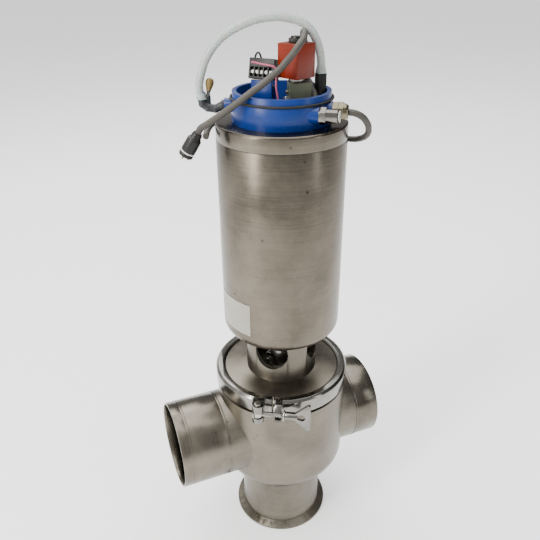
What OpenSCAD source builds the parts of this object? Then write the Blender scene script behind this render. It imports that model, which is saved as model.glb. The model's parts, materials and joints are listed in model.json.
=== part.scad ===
// Three way hygienic seat valve with an air actuator, an open control top, a solenoid and its hoses.
// Frame: origin at the centre of the bottom ferrule's face, +Z up the stem, the side ports along X.

/* [Pipe ends] */
// Outside diameter of the three ports
tube_d = 101.6; // [76:0.1:130]
// Wall of the ports
tube_wall = 2.1; // [1.5:0.1:3]
// Diameter of the clamp ferrule on the bottom port
ferrule_d = 119; // [92:1:150]
// Length of the bottom ferrule
ferrule_len = 21.5; // [16:0.5:40]

/* [Valve body] */
// Outside diameter of the body
body_d = 155.2; // [125:1:190]
// Wall of the body
body_wall = 3; // [2:0.5:5]
// Height of the side ports' axis above the bottom face
port_h = 146.8; // [120:1:190]
// Distance from the axis to the end of the left port
left_reach = 141.4; // [122:1:190]
// Distance from the axis to the end of the right port
right_reach = 113.5; // [100:1:190]
// Length of the pipe left on the left port
pipe_stub_len = 12.4; // [6:1:30]

/* [Clamp] */
// Distance that the clamp stands out past the body
clamp_proud = 1.5; // [1:0.5:6]
// Height of the clamp
clamp_h = 21.6; // [19:0.2:30]
// Diameter of the swing bolt
bolt_d = 6; // [5:0.5:8]
// Span of the wing nut across its two wings
wing_span = 35; // [24:1:36]

/* [Yoke] */
// Outside diameter of the yoke
yoke_d = 82.6; // [70:1:100]
// Wall of the yoke
yoke_wall = 5.3; // [3:0.5:8]
// Height of the yoke between the bonnet and the actuator
yoke_h = 56; // [52:1:90]
// Diameter of the yoke's four windows
window_d = 38.5; // [24:0.5:40]

/* [Stem] */
// Diameter of the valve stem
stem_d = 20; // [14:1:24]
// Travel of the stem
lift = 28; // [16:1:30]

/* [Actuator] */
// Outside diameter of the actuator
actuator_d = 132; // [120:1:160]
// Height of the actuator with its cap
actuator_h = 239; // [210:1:300]
// Wall of the actuator
actuator_wall = 2.5; // [2:0.5:4]
// Height of the cap
cap_h = 16; // [12:1:24]
// Diameter of the spring's wire
wire_d = 8; // [5:0.5:9]
// Mean diameter of the spring
spring_d = 88; // [70:1:96]
// Number of turns of the spring
spring_turns = 6; // [4:1:8]

/* [Control top] */
// Outside diameter of the control base
base_d = 99.4; // [98:0.2:112]
// Height of the control base with its collar
base_h = 29; // [26:0.5:40]
// Wall of the control base's collar
base_wall = 4.4; // [3:0.2:6]
// Side of the solenoid coil
coil_w = 25; // [20:0.5:26]
// Height of the solenoid coil
coil_h = 31; // [24:0.5:36]
// Diameter of the hose
hose_d = 8; // [6:0.5:9]
// Diameter of the cable
cable_d = 6.4; // [5:0.2:6.8]

/* [Hidden] */
$fn = 72;

// Fits
run = 0.05; // radial clearance of a running fit
part = 0.3; // gap between bodies that pass each other
ease = 0.1; // gap between round pieces that touch
over = 1; // how far a cut runs past a face

// Pipe ends
tube_r = tube_d / 2;
bore_r = tube_r - tube_wall;
ferrule_rim = 2.9;
ferrule_taper = 20;
groove_r = 1.6;

// Body
body_r = body_d / 2;
chamber_r = body_r - body_wall;
corner_r = body_r - tube_r;
bowl_z = port_h - tube_r - 11;
corner_z = bowl_z + corner_r;
neck_foot = bowl_z - 15;
throat_r = tube_r - body_wall;
seat_z = bowl_z + body_wall + 3;
seat_r = tube_r + 3.2;
shoulder_z = port_h + tube_r + 12.4;
stub_x = body_r + 6.4;

// Clamped joint between the body and the yoke's disc
gasket_t = 1;
flange_r = body_r - 3.4;
rim_t = 4.5;
lip_depth = 6.5;
neck_r = flange_r - lip_depth;
taper_h = lip_depth * tan(20);
joint_z = shoulder_z + 12.5;
top_bore_r = neck_r - 4.7;
disc_z = joint_z + gasket_t;
disc_top = disc_z + rim_t + taper_h + 0.6;

// Clamp
clamp_r = body_r + clamp_proud;
clamp_z = joint_z + gasket_t / 2;
clamp_dir = -120.5;
groove_wall = flange_r + 0.5;
groove_half = rim_t + gasket_t / 2 + part;
lip_r = neck_r + 0.9;
lip_half = groove_half + (groove_wall - lip_r) * tan(20);
split_gap = 1.5;
knuckle_r = 5.5;
hinge_x = -(clamp_r + knuckle_r + 0.4);
hinge_pin_r = 2.5;
knuckle_h = 6;
bolt_r = bolt_d / 2;
bolt_x = clamp_r + 8.9;
pivot_y = -15;
pivot_r = 2.2;
eye_r = 5;
slot_half = bolt_r + 0.6;
left_ear_t = 13;
right_ear_y = 4;
right_ear_t = 7;
ear_reach = 6.2;
washer_t = 1.6;
nut_gap = 2.4;
washer_y = right_ear_y + right_ear_t + nut_gap;
nut_y = washer_y + washer_t;
barrel_r = bolt_r + 1.8;
barrel_len = 14;
wing_len = 17;
wing_t = 3.6;
wing_hole_r = 4.4;

// Stem and plug
stem_r = stem_d / 2;
spigot_r = stem_r - 2.5;
plug_r = tube_r + 2.2;
plug_z = seat_z + 6;
plug_t = 6;
hub_z = plug_z + plug_t + 9;
retainer_r = throat_r - 2.8;
retainer_t = 7;
nut_h = 8;
stem_foot = seat_z - retainer_t - nut_h - 2;
bushing_r = stem_r + 4;

// Yoke
yoke_r = yoke_d / 2;
yoke_in = yoke_r - yoke_wall;
yoke_top = disc_top + yoke_h;
window_z = yoke_top - window_d / 2;
window_dir = 50;
coupling_r = 17;
coupling_h = 21;
coupling_z = disc_top + 5;
rod_foot = coupling_z + coupling_h / 2 + 0.5;
stem_top = coupling_z + coupling_h / 2 - 0.5;
grip_depth = 2;
grip_h = 3;
grip_off = 4;

// Actuator
act_r = actuator_d / 2;
act_in = act_r - actuator_wall;
act_top = yoke_top + actuator_h;
seam_z = act_top - cap_h;
act_corner = 14;
base_plate_z = yoke_top + act_corner;
base_plate_t = 7;
plate_boss_r = act_r - act_corner - 1;
piston_z = base_plate_z + base_plate_t + 1.5;
piston_t = 17.5;
piston_r = act_in - part;
tail_r = stem_r - 2;
cap_spigot_h = 10;
spring_lo = piston_z + piston_t;
spring_hi = seam_z - cap_spigot_h;
boss_h = 16;
tail_top = act_top - 5 - lift - 1;
label_z = yoke_top + 19;
label_h = 38;
label_t = 0.3;
label_dir = 172.5;
label_turn = 44;

// Control base
base_r = base_d / 2;
step_z = act_top + base_h - 8;
base_top = act_top + base_h;
collar_r = base_r - 1.3;
cup_r = collar_r - base_wall;
floor_z = act_top + 5;
seal_r = 1.3;

// Fittings on the control base
side_dir = -35;
fitting_z = act_top + 12.8;
inlet_off = 31;
inlet_x = sqrt(pow(base_r, 2) - pow(inlet_off, 2)) + 2.7;
gland_off = 12;
gland_x = sqrt(pow(base_r, 2) - pow(gland_off, 2)) + 3.1;
gland_len = 15.5;
boss_r = 7.6;
spotface_r = 8.7;
tee_dir = 155.5;
tee_z = act_top + 14;
tee_x = base_r + 6.3;
branch_x = 16.4;
branch_y = -2.5;
branch_z = tee_z + 7.6;
tube_bore_r = 3.05;
collet_r = 4.2;
socket_x = 36.9;
socket_y = -9.5;
socket_r = 5.8;
socket_top = act_top + 43;

// Solenoid
coil_x = 11;
coil_y = -9;
coil_dir = 24.4;
coil_z = base_top + 12;
block_dir = -16;
block_x = 12;
block_y = -13.9;
block_w = 21;
block_d = 17;
block_top = base_top + 8.5;
core_r = 5;
plunger_r = 3;
plunger_z = block_top + 4;
plunger_len = 24;
core_top = coil_z + coil_h + 4;
button_z = block_top - 9;
button_r = 1.9;

// Terminal block
term_x = coil_x - coil_w / 2 * (cos(coil_dir) + sin(coil_dir)) - 10.5;
term_y = coil_y + coil_w / 2 * (cos(coil_dir) - sin(coil_dir)) + 10.3;
term_dir = -48;
term_w = 26;
term_d = 14;
term_h = 19;
term_z = base_top + 9;
term_lean = 14;

// Route of the hose, from the socket over the top to the tee
hose_route = [
    [36.9, -9.5, 569], [36.9, -9.6, 573], [36.6, -9.5, 580], [35, -8.8, 589.5], [31.6, -6.5, 600.3],
    [25.9, -2.9, 609.4], [17.5, 1.2, 615.2], [8.3, 5.1, 617.8], [-0.9, 8.6, 618.9], [-13.3, 12.7, 618.1],
    [-24.7, 16.4, 615.3], [-36.3, 20, 610.7], [-44.7, 22.7, 605.9], [-52.2, 24.8, 600.6], [-61.6, 27.9, 589.8],
    [-66.8, 29.4, 580.9], [-70, 30.5, 572], [-72.3, 31.5, 564], [-73, 32.4, 557.5], [-72.3, 32.9, 551.5],
    [-71.3, 32.5, 545.7]
];
// Route of the cable inside the control top, from the gland over the coil to its plug
sensor_route = [
    [27.7, -34.05, 538.8], [25.2, -32.3, 539.2], [24.2, -28.5, 542.3], [25.4, -21.5, 547.8],
    [27.3, -14.5, 552], [27.8, -8.9, 554.5], [30, -2.5, 557.5], [29.3, 3.5, 561.5], [26.8, 6, 567.5],
    [25.6, 5.8, 576], [26.2, 4.8, 586], [25.3, 3.8, 595.5], [22, -0.5, 602.2], [18.9, -6.3, 606.2],
    [17.2, -12.5, 607], [13, -19.9, 603.3], [5.9, -28.7, 600.1], [0.3, -31.8, 595.6], [-4, -30.4, 589.7],
    [-9.3, -29.2, 583.9], [-14, -28.3, 578.8], [-20.5, -27.6, 574], [-26.8, -26.9, 569.2],
    [-33.1, -26.4, 565], [-40, -25.6, 560.9], [-46.2, -24, 556.5], [-52, -21.5, 551.8],
    [-58, -18.3, 547], [-64, -14.5, 542], [-72, -9.2, 535.5], [-79, -4.6, 530], [-83.6, -1.1, 526.2],
    [-86, 0.5, 521.5]
];
// Route of the cable outside, from the gland round the back of the actuator
supply_route = [
    [48, -48.3, 538.8], [52, -50.8, 538.2], [59, -52, 535], [67, -49.5, 528], [74, -43, 519],
    [78.5, -33, 510], [79.5, -21, 503.5], [77, -8, 499.5], [75, 4, 498], [71, 18, 498.5], [64, 33, 500],
    [52, 50, 503.5], [34, 64, 507.5], [12, 72, 511], [-12, 72, 514], [-34, 64, 516], [-51, 52, 517],
    [-62, 39, 517], [-69, 27, 515.5], [-74, 16, 513]
];
plug_tip = [-98, 7, 499.5];
// Leads of the terminal block: one across its front, one out of its top, both down to the floor
pink_route = [
    [-25.9, 12, 580.3], [-22.1, 7.4, 579.8], [-17.7, 1.95, 578.8], [-13.3, -3.5, 578.2], [-9.6, -6.4, 576.5],
    [-8.8, -7, 571], [-9.5, -8.5, 560], [-8.5, -11, 547], [-8, -12, 536]
];
dark_route = [
    [-21.1, 15.8, 579.4], [-20.1, 16.8, 584.5], [-16, 20.6, 587], [-11.8, 24.4, 583], [-9.7, 25.5, 573],
    [-8, 23, 560], [-7.5, 20, 548], [-8, 18.5, 536]
];
// Centreline of the tee, outwards and upwards from its collar
tee_route = [[2, 0], [9, -3.5], [16.5, -2.5], [21.5, 1], [22.3, 5.6]];

// Vectors, curves and sweeps
function unit(v) = v / norm(v);
function pick(p, i) = p[max(0, min(len(p) - 1, i))];
function curve_at(a, b, c, d, t) =
    0.5 * ((2 * b) + (c - a) * t + (2 * a - 5 * b + 4 * c - d) * t * t + (3 * b - a - 3 * c + d) * t * t * t);
function smooth(p, steps) = concat(
    [for (i = [0 : len(p) - 2], k = [0 : steps - 1])
        curve_at(pick(p, i - 1), p[i], p[i + 1], pick(p, i + 2), k / steps)],
    [p[len(p) - 1]]
);
function headings(q) = [for (i = [0 : len(q) - 1]) unit(pick(q, i + 1) - pick(q, i - 1))];
function carry(t, i, v) = let (w = unit(v - (v * t[i]) * t[i]))
    i == len(t) - 1 ? [w] : concat([w], carry(t, i + 1, w));

module sweep(q, r, sides) {
    t = headings(q);
    side = carry(t, 0, abs(t[0].z) > 0.7 ? [1, 0, 0] : [0, 0, 1]);
    n = len(q);
    ring = [for (i = [0 : n - 1], k = [0 : sides - 1])
        q[i] + r * (cos(360 * k / sides) * side[i] + sin(360 * k / sides) * cross(t[i], side[i]))];
    walls = [for (i = [0 : n - 2], k = [0 : sides - 1])
        [i * sides + k, (i + 1) * sides + k, (i + 1) * sides + (k + 1) % sides, i * sides + (k + 1) % sides]];
    start = [[for (k = [0 : sides - 1]) k]];
    end = [[for (k = [sides - 1 : -1 : 0]) (n - 1) * sides + k]];
    polyhedron(points = ring, faces = concat(start, walls, end), convexity = 8);
}

// A round bar between two heights
module bar(r, lo, hi) {
    translate([0, 0, lo]) cylinder(r = r, h = hi - lo);
}

// A ring between two radii and two heights
module band(r_out, r_in, lo, hi) {
    difference() {
        bar(r_out, lo, hi);
        bar(r_in, lo - over, hi + over);
    }
}

// A round ring of circular section
module cord_ring(r_mid, r, z) {
    translate([0, 0, z]) rotate_extrude() translate([r_mid, 0]) circle(r = r, $fn = 32);
}

// A bar along X between two distances
module bar_x(r, lo, hi) {
    translate([lo, 0, 0]) rotate([0, 90, 0]) cylinder(r = r, h = hi - lo);
}

// A turned shape from its half section
module turned(points) {
    rotate_extrude() polygon(points);
}

// A six-sided prism, by its width across the flats
module hex_bar(flats, lo, hi) {
    translate([0, 0, lo]) cylinder(r = flats / 2 / cos(30), h = hi - lo, $fn = 6);
}

// The place and direction of the two fittings on the right
module at_side(off, x) {
    translate([0, 0, fitting_z])
        rotate([0, 0, side_dir])
            translate([x, -off, 0])
                rotate([0, 90, 0])
                    children();
}

// ---- Body ----

module bowl(r, corner) {
    bowl_corner(corner);
    bar(tube_r, corner_z - corner, corner_z);
    bar(r, corner_z, shoulder_z - (body_r - r));
}

module bowl_corner(corner) {
    translate([0, 0, corner_z]) rotate_extrude() translate([tube_r, 0]) circle(r = corner, $fn = 96);
}

module valve_body() {
    color("silver") difference() {
        union() {
            bowl(body_r, corner_r);
            bar(tube_r, neck_foot, corner_z);
            translate([0, 0, port_h]) bar_x(tube_r, -stub_x, stub_x);
            turned([
                [0, shoulder_z - over], [neck_r, shoulder_z - over], [neck_r, joint_z - rim_t - taper_h],
                [flange_r, joint_z - rim_t], [flange_r, joint_z], [0, joint_z]
            ]);
        }
        difference() {
            bowl(chamber_r, corner_r - body_wall);
            bar(seat_r, 0, seat_z);
        }
        bar(throat_r, neck_foot - over, corner_z);
        bar(top_bore_r, corner_z, joint_z + over);
        translate([0, 0, port_h]) bar_x(bore_r, -stub_x - over, stub_x + over);
    }
}

module port(lo, hi) {
    translate([0, 0, port_h]) difference() {
        bar_x(tube_r, lo, hi);
        bar_x(bore_r, lo - over, hi + over);
    }
}

module left_port() {
    color("silver") port(-left_reach + pipe_stub_len, -stub_x);
}

module left_pipe_stub() {
    color("gainsboro") port(-left_reach, -left_reach + pipe_stub_len);
}

module right_port() {
    color("silver") port(stub_x, right_reach);
}

module bottom_pipe() {
    color("silver") band(tube_r, bore_r, ferrule_len, neck_foot);
}

module bottom_ferrule() {
    ferrule_r = ferrule_d / 2;
    taper_z = ferrule_rim + (ferrule_r - tube_r) * tan(ferrule_taper);
    color("silver") difference() {
        turned([
            [bore_r, 0], [ferrule_r, 0], [ferrule_r, ferrule_rim], [tube_r, taper_z],
            [tube_r, ferrule_len], [bore_r, ferrule_len]
        ]);
        cord_ring((ferrule_r + bore_r) / 2, groove_r, 0);
    }
}

module body_gasket() {
    color("dimgray") band(neck_r + 2, top_bore_r + 0.5, joint_z, disc_z);
}

module stem_bushing() {
    color("ivory") band(bushing_r, stem_r + run, disc_top - 7, disc_top + 1);
}

module stem_seal() {
    color("black") band(bushing_r, stem_r + run, joint_z - 6, joint_z + 1);
}

module yoke() {
    color("silver") difference() {
        union() {
            bar(top_bore_r - part, shoulder_z + 4.5, disc_z);
            turned([
                [0, disc_z], [flange_r, disc_z], [flange_r, disc_z + rim_t],
                [neck_r, disc_z + rim_t + taper_h], [neck_r, disc_top], [0, disc_top]
            ]);
            difference() {
                bar(yoke_r, disc_top - over, yoke_top + 7);
                bar(yoke_in, disc_top, yoke_top + 8);
            }
        }
        bar(stem_r + 1, shoulder_z, disc_top + over);
        bar(bushing_r, joint_z - 6, joint_z + 1);
        bar(bushing_r, disc_top - 7, disc_top + over);
        for (turn = [0 : 90 : 270])
            rotate([0, 0, window_dir + turn])
                translate([0, 0, window_z])
                    bar_x(window_d / 2, yoke_in / 2, yoke_r + over);
    }
}

// ---- Clamp ----

module at_clamp() {
    translate([0, 0, clamp_z]) rotate([0, 0, clamp_dir]) children();
}

module clamp_ring() {
    top = clamp_h / 2;
    turned([
        [groove_wall, -groove_half], [lip_r, -lip_half], [lip_r, -lip_half - 1.6], [lip_r + 2, -top],
        [clamp_r - 2.6, -top], [clamp_r, -top + 3], [clamp_r, top - 3], [clamp_r - 2.6, top],
        [lip_r + 2, top], [lip_r, lip_half + 1.6], [lip_r, lip_half], [groove_wall, groove_half]
    ]);
}

// Half of the ring, on the side that sign names
module clamp_half(sign) {
    intersection() {
        clamp_ring();
        translate([-2 * clamp_r, sign > 0 ? split_gap / 2 : -split_gap / 2 - 2 * clamp_r, -clamp_h])
            cube([4 * clamp_r, 2 * clamp_r, 2 * clamp_h]);
    }
}

// A hinge knuckle and the web that joins it to its half
module knuckle(sign, lo, hi) {
    translate([hinge_x, 0, lo]) difference() {
        union() {
            cylinder(r = knuckle_r, h = hi - lo);
            translate([0, sign > 0 ? split_gap / 2 : -knuckle_r, 0])
                cube([knuckle_r + 3.2, knuckle_r - split_gap / 2, hi - lo]);
        }
        translate([0, 0, -over]) cylinder(r = hinge_pin_r + (sign > 0 ? run : 0), h = hi - lo + 2 * over);
    }
}

module clamp_left() {
    ear_in = groove_wall + 0.4;
    color("gainsboro") at_clamp() difference() {
        union() {
            clamp_half(-1);
            knuckle(-1, knuckle_h / 2 + part, knuckle_h * 1.5);
            knuckle(-1, -knuckle_h * 1.5, -knuckle_h / 2 - part);
            translate([ear_in, pivot_y - left_ear_t / 2, -10]) cube([bolt_x - ear_in, left_ear_t, 23]);
            translate([bolt_x, pivot_y, -10]) cylinder(r = left_ear_t / 2, h = 23);
        }
        translate([bolt_x - eye_r - 1.2, pivot_y - left_ear_t / 2 - over, -slot_half])
            cube([left_ear_t * 2, left_ear_t + 2 * over, 2 * slot_half]);
        translate([bolt_x, pivot_y, -10 - over]) cylinder(r = pivot_r, h = 23 + 2 * over);
    }
}

module clamp_right() {
    ear_in = groove_wall + 0.4;
    color("gainsboro") at_clamp() difference() {
        union() {
            clamp_half(1);
            knuckle(1, -knuckle_h / 2, knuckle_h / 2);
            intersection() {
                translate([ear_in, right_ear_y, -10])
                    cube([bolt_x + ear_reach - ear_in, right_ear_t, 24]);
                translate([ear_in + 5, right_ear_y - over, 2])
                    rotate([-90, 0, 0])
                        cylinder(r = bolt_x + ear_reach - ear_in - 5, h = right_ear_t + 2 * over);
            }
        }
        translate([bolt_x - bolt_r - 1.4, right_ear_y - over, -slot_half])
            cube([2 * ear_reach + bolt_d, right_ear_t + 2 * over, 2 * slot_half]);
        translate([bolt_x - bolt_r - 1.4, right_ear_y - over, 0])
            rotate([-90, 0, 0])
                cylinder(r = slot_half, h = right_ear_t + 2 * over);
    }
}

module clamp_hinge_pin() {
    color("silver") at_clamp() translate([hinge_x, 0, 0]) {
        bar(hinge_pin_r, -knuckle_h * 1.5 - 1.5, knuckle_h * 1.5);
        bar(hinge_pin_r + 1.6, knuckle_h * 1.5, knuckle_h * 1.5 + 1.6);
    }
}

module trunnion_pin() {
    color("silver") at_clamp() translate([bolt_x, pivot_y, 0]) {
        bar(pivot_r, -11.4, 13);
        bar(pivot_r + 1.5, 13, 14.4);
    }
}

module swing_bolt() {
    color("gray") at_clamp() translate([bolt_x, pivot_y, 0]) difference() {
        union() {
            bar(eye_r, -slot_half + part, slot_half - part);
            rotate([-90, 0, 0]) cylinder(r = bolt_r, h = nut_y + barrel_len - 3 - pivot_y);
        }
        bar(pivot_r + run, -slot_half - over, slot_half + over);
    }
}

module clamp_washer() {
    color("silver") at_clamp() translate([bolt_x, washer_y, 0])
        rotate([-90, 0, 0])
            band(barrel_r + 1.6, bolt_r + run, 0, washer_t);
}

module wing_nut() {
    wing_y = nut_y + barrel_len - 3;
    half = wing_span / 2;
    color("silver") at_clamp() translate([bolt_x, 0, 0]) difference() {
        union() {
            translate([0, nut_y, 0]) rotate([-90, 0, 0]) cylinder(r = barrel_r, h = barrel_len);
            translate([-wing_t / 2, 0, 0]) rotate([90, 0, 90]) linear_extrude(wing_t) polygon([
                [wing_y, -barrel_r + 0.4], [wing_y + wing_len - 2.5, -half], [wing_y + wing_len, -half + 1],
                [wing_y + wing_len + 0.8, 0],
                [wing_y + wing_len, half - 1], [wing_y + wing_len - 2.5, half], [wing_y, barrel_r - 0.4]
            ]);
        }
        translate([0, nut_y - over, 0])
            rotate([-90, 0, 0])
                cylinder(r = bolt_r + run, h = barrel_len + wing_hole_r);
        translate([-barrel_r * 2, wing_y + 3 + wing_hole_r, 0]) bar_x(wing_hole_r, 0, 4 * barrel_r);
    }
}

// ---- Stem and plug ----

// Two grooves that the coupling's ribs fill
module grips(r) {
    for (z = [stem_top - grip_off - grip_h, rod_foot + grip_off])
        band(r + over, r - grip_depth, z, z + grip_h);
}

module valve_stem() {
    color("gainsboro") difference() {
        union() {
            bar(spigot_r, stem_foot, hub_z - over);
            bar(stem_r, hub_z - 4, stem_top);
        }
        grips(stem_r);
    }
}

module valve_plug() {
    color("silver") difference() {
        turned([
            [0, plug_z], [plug_r, plug_z], [plug_r, plug_z + plug_t - 2], [plug_r - 2, plug_z + plug_t],
            [stem_r + 16, plug_z + plug_t], [stem_r + 5, hub_z], [0, hub_z]
        ]);
        bar(spigot_r, plug_z - over, hub_z + over);
        bar(stem_r, hub_z - 4, hub_z + over);
    }
}

module plug_seal() {
    color("black") band(plug_r + 0.4, retainer_r, seat_z + 0.1, plug_z);
}

module plug_retainer() {
    color("silver") difference() {
        turned([
            [0, seat_z - retainer_t], [retainer_r - 8, seat_z - retainer_t], [retainer_r, seat_z - 2],
            [retainer_r, plug_z], [0, plug_z]
        ]);
        bar(spigot_r, seat_z - retainer_t - over, plug_z + over);
    }
}

module plug_nut() {
    color("silver") difference() {
        hex_bar(2 * spigot_r + 9, seat_z - retainer_t - nut_h, seat_z - retainer_t);
        bar(spigot_r, stem_foot, seat_z);
    }
}

// One half of the coupling, and the screw holes in it
module coupling_half(turn) {
    rotate([0, 0, clamp_dir + turn]) difference() {
        bar(coupling_r, coupling_z, coupling_z + coupling_h);
        difference() {
            bar(stem_r, coupling_z - over, coupling_z + coupling_h + over);
            grips(stem_r);
        }
        translate([-coupling_r - over - 0.4, -coupling_r - over, coupling_z - over])
            cube([coupling_r + over + 0.4 + 0.4, 2 * (coupling_r + over), coupling_h + 2 * over]);
        coupling_screw_places() bar_x(1.6, -coupling_r, coupling_r + over);
    }
}

module coupling_screw_places() {
    for (z = [0.27, 0.73], y = [-1, 1])
        translate([0, y * (stem_r + 3.2), coupling_z + z * coupling_h]) children();
}

module coupling_front() {
    color("silver") coupling_half(0);
}

module coupling_back() {
    color("silver") coupling_half(180);
}

module coupling_screws() {
    head_x = sqrt(pow(coupling_r, 2) - pow(stem_r + 3.2 - 2.6, 2));
    color("gray") rotate([0, 0, clamp_dir]) coupling_screw_places() {
        bar_x(1.6, -8, head_x);
        bar_x(2.6, head_x, head_x + 2.4);
    }
}

// ---- Actuator ----

// The actuator's round-cornered can, grown inwards by a wall
module can(wall, top) {
    translate([0, 0, yoke_top + act_corner])
        rotate_extrude()
            translate([act_r - act_corner, 0])
                circle(r = act_corner - wall, $fn = 96);
    bar(act_r - act_corner, yoke_top + wall, yoke_top + act_corner);
    bar(act_r - wall, yoke_top + act_corner, top);
}

module actuator_shell() {
    color("silver") difference() {
        can(0, seam_z);
        can(actuator_wall, seam_z + over);
        bar(yoke_r + run, yoke_top - over, yoke_top + actuator_wall + over);
    }
}

module actuator_base() {
    color("lightgray") difference() {
        union() {
            bar(plate_boss_r, yoke_top + actuator_wall, base_plate_z);
            bar(act_in, base_plate_z, base_plate_z + base_plate_t);
        }
        bar(yoke_r + run, yoke_top, yoke_top + 7);
        bar(bushing_r, base_plate_z - 3, base_plate_z + base_plate_t + over);
        bar(stem_r + 1, yoke_top, base_plate_z);
    }
}

module rod_bushing() {
    color("ivory") band(bushing_r, stem_r + run, base_plate_z + 1, base_plate_z + base_plate_t);
}

module rod_seal() {
    color("black") band(bushing_r, stem_r + run, base_plate_z - 3, base_plate_z + 1);
}

module piston_rod() {
    color("gainsboro") difference() {
        union() {
            bar(stem_r, rod_foot, piston_z + 4);
            bar(tail_r, piston_z, tail_top);
        }
        grips(stem_r);
    }
}

module piston() {
    color("lightgray") difference() {
        union() {
            bar(piston_r, piston_z, piston_z + 12);
            bar(spring_d / 2 - wire_d, piston_z, spring_lo + 6);
            bar(act_in - 6, piston_z, spring_lo);
        }
        band(piston_r + over, piston_r - 3.5, piston_z + 4, piston_z + 8.5);
        bar(stem_r, piston_z - over, piston_z + 4);
        bar(tail_r, piston_z, spring_lo + 7);
        band(spring_d / 2 - wire_d - 8, tail_r + 8, piston_z + 12, spring_lo + 7);
    }
}

module piston_seal() {
    color("black") band(act_in - run, piston_r - 3.5, piston_z + 4, piston_z + 8.5);
}

module return_spring() {
    r = spring_d / 2;
    steps = 20;
    closed = 1.02 * wire_d;
    climb = (spring_hi - spring_lo - 2 * closed - wire_d - 1) / spring_turns;
    foot = spring_lo + wire_d / 2 + 0.5;
    coil = [for (i = [0 : steps * (spring_turns + 2)])
        let (turn = i / steps, active = max(0, min(spring_turns, turn - 1)))
        [r * cos(360 * turn), r * sin(360 * turn), foot + climb * active + closed * (turn - active)]];
    color("dimgray") sweep(coil, wire_d / 2, 8);
}

module actuator_cap() {
    color("silver") difference() {
        union() {
            bar(act_r, seam_z, act_top - 1.5);
            turned([[0, act_top - 1.5], [act_r, act_top - 1.5], [act_r - 1.5, act_top], [0, act_top]]);
            bar(act_in, seam_z - cap_spigot_h, seam_z);
            bar(bushing_r + 6, seam_z - cap_spigot_h - boss_h, seam_z);
        }
        bar(bushing_r, seam_z - cap_spigot_h - boss_h - over, act_top - 4);
        screw_places() bar(2.05, act_top - 9, act_top + over);
    }
}

module cap_bushing() {
    color("ivory") band(bushing_r, tail_r + run, seam_z - cap_spigot_h - boss_h, seam_z - cap_spigot_h);
}

module name_label() {
    color("whitesmoke") intersection() {
        band(act_r + label_t, act_r, label_z, label_z + label_h);
        rotate([0, 0, label_dir]) translate([0, 0, label_z]) linear_extrude(label_h)
            polygon([[0, 0], [2 * act_r, 0], [2 * act_r, 2 * act_r * tan(label_turn)]]);
    }
}

// ---- Control top ----

module screw_places() {
    for (turn = [60, 180, 290])
        rotate([0, 0, turn]) translate([cup_r - 6, 0, 0]) children();
}

module control_base() {
    color("royalblue") difference() {
        union() {
            difference() {
                union() {
                    bar(base_r, act_top, step_z);
                    bar(collar_r, step_z, base_top);
                }
                bar(cup_r, floor_z, base_top + over);
            }
            difference() {
                at_side(inlet_off, 0) bar(boss_r, inlet_x - 12, inlet_x);
                bar(cup_r, floor_z, base_top);
            }
            difference() {
                at_side(gland_off, 0) bar(boss_r + 1, gland_x - 10, gland_x);
                bar(cup_r, floor_z, base_top);
            }
            difference() {
                rotate([0, 0, tee_dir]) translate([0, 0, tee_z]) bar_x(boss_r - 0.6, cup_r, tee_x);
                bar(cup_r, floor_z, base_top);
            }
            screw_places() bar(5, act_top + 1, floor_z + 5);
        }
        screw_places() bar(2.2, act_top - over, floor_z + 6);
        at_side(inlet_off, 0) bar(4.8, 0, inlet_x + over);
        at_side(inlet_off, 0) bar(spotface_r, inlet_x, base_r);
        at_side(gland_off, 0) bar(5.5, 0, gland_x + over);
        rotate([0, 0, tee_dir]) translate([0, 0, tee_z]) bar_x(3.6, 0, tee_x + over);
    }
}

module cover_seal() {
    color("black") cord_ring(collar_r + seal_r + ease, seal_r, step_z + seal_r + ease);
}

// Screws that hold the base down, and the two that hold the solenoid's block together
module control_screws() {
    color("silver") screw_places() {
        bar(2, act_top - 8, floor_z + 5);
        hex_bar(6.4, floor_z + 5, floor_z + 8.5);
    }
    color("silver") at_block() manifold_screw_places() {
        bar_x(1.5, -block_w / 2 - 0.1, -block_w / 2 + 6);
        bar_x(2.7, -block_w / 2 - 2.6, -block_w / 2);
    }
}

module terminal_bracket() {
    color("royalblue") translate([term_x, term_y, 0]) rotate([0, 0, term_dir]) {
        translate([-term_w / 2 + 2, -term_d / 2 + 2, floor_z]) cube([term_w - 4, 3, term_z - floor_z]);
        translate([-term_w / 2 + 2, -term_d / 2 + 5, floor_z]) cube([3, term_d - 7, term_z - floor_z - 5]);
        translate([term_w / 2 - 5, -term_d / 2 + 5, floor_z]) cube([3, term_d - 7, term_z - floor_z - 5]);
    }
}

module at_terminal() {
    translate([term_x, term_y, term_z]) rotate([-term_lean, 0, term_dir]) children();
}

module terminal_block() {
    cell = (term_w - 2) / 5;
    color("black") at_terminal() difference() {
        translate([-term_w / 2, -term_d / 2, 0]) cube([term_w, term_d, term_h]);
        for (i = [0 : 4]) {
            translate([-term_w / 2 + 1.6 + i * cell, -term_d / 2 - over, 2]) cube([cell - 1.2, 5, 9]);
            translate([-term_w / 2 + 1.6 + i * cell, -term_d / 2 + 2.5, term_h - 4]) cube([cell - 1.2, 5, 5]);
        }
    }
}

module terminal_screws() {
    cell = (term_w - 2) / 5;
    color("white") at_terminal()
        for (i = [0 : 4])
            translate([-term_w / 2 + 1 + (i + 0.5) * cell, -term_d / 2 + 4, 6.5])
                rotate([90, 0, 0])
                    cylinder(r = cell / 2 - 0.7, h = 2.6);
}

module lead_wires() {
    color("pink") sweep(smooth(pink_route, 4), 1, 8);
    color("black") sweep(smooth(dark_route, 4), 1, 8);
}

module at_block() {
    translate([block_x, block_y, 0]) rotate([0, 0, block_dir]) children();
}

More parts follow.
